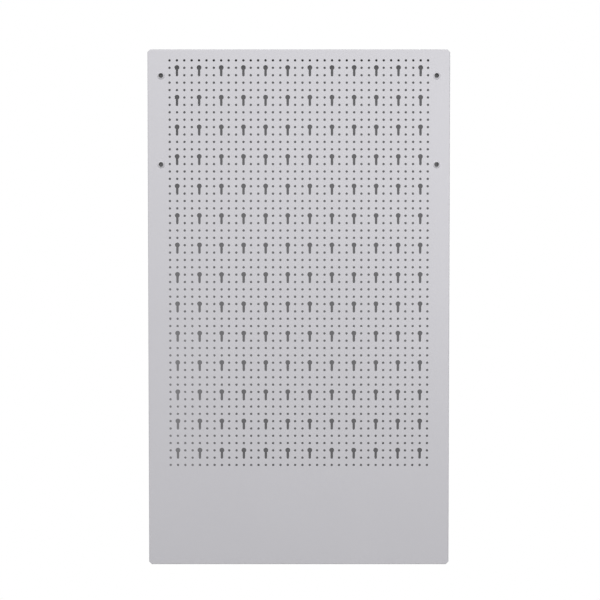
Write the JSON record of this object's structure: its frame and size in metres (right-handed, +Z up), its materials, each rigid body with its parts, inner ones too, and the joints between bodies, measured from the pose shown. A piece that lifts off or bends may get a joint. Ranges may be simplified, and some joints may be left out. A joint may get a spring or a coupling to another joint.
{
  "type": "pegboard tool wall panel",
  "caption": "Perforated steel wall panel with folded edges, rear stiffening channels and fixing bushes, for hanging tools on hooks and pegs.",
  "frame": {"origin": "on the rear plane, at the centre of the rectangle of the fixing bushes", "axes": "+X to the right as seen from the front, +Y out of the rear plane towards the wall, +Z up; the front face looks towards -Y"},
  "size_m": [0.615, 0.0275, 1.0525],
  "materials": {
    "powder_coat": "light grey powder coat, fine texture, low sheen",
    "coated_bush": "the same coat outside, and dark bare steel in the bore"
  },
  "bodies": {
    "root": {"perforated_panel": "powder_coat", "left_stiffener": "powder_coat", "right_stiffener": "powder_coat", "lower_stiffener": "powder_coat", "bush_upper_left": "coated_bush", "bush_upper_right": "coated_bush", "bush_lower_left": "coated_bush", "bush_lower_right": "coated_bush"}
  },
  "joints": []
}
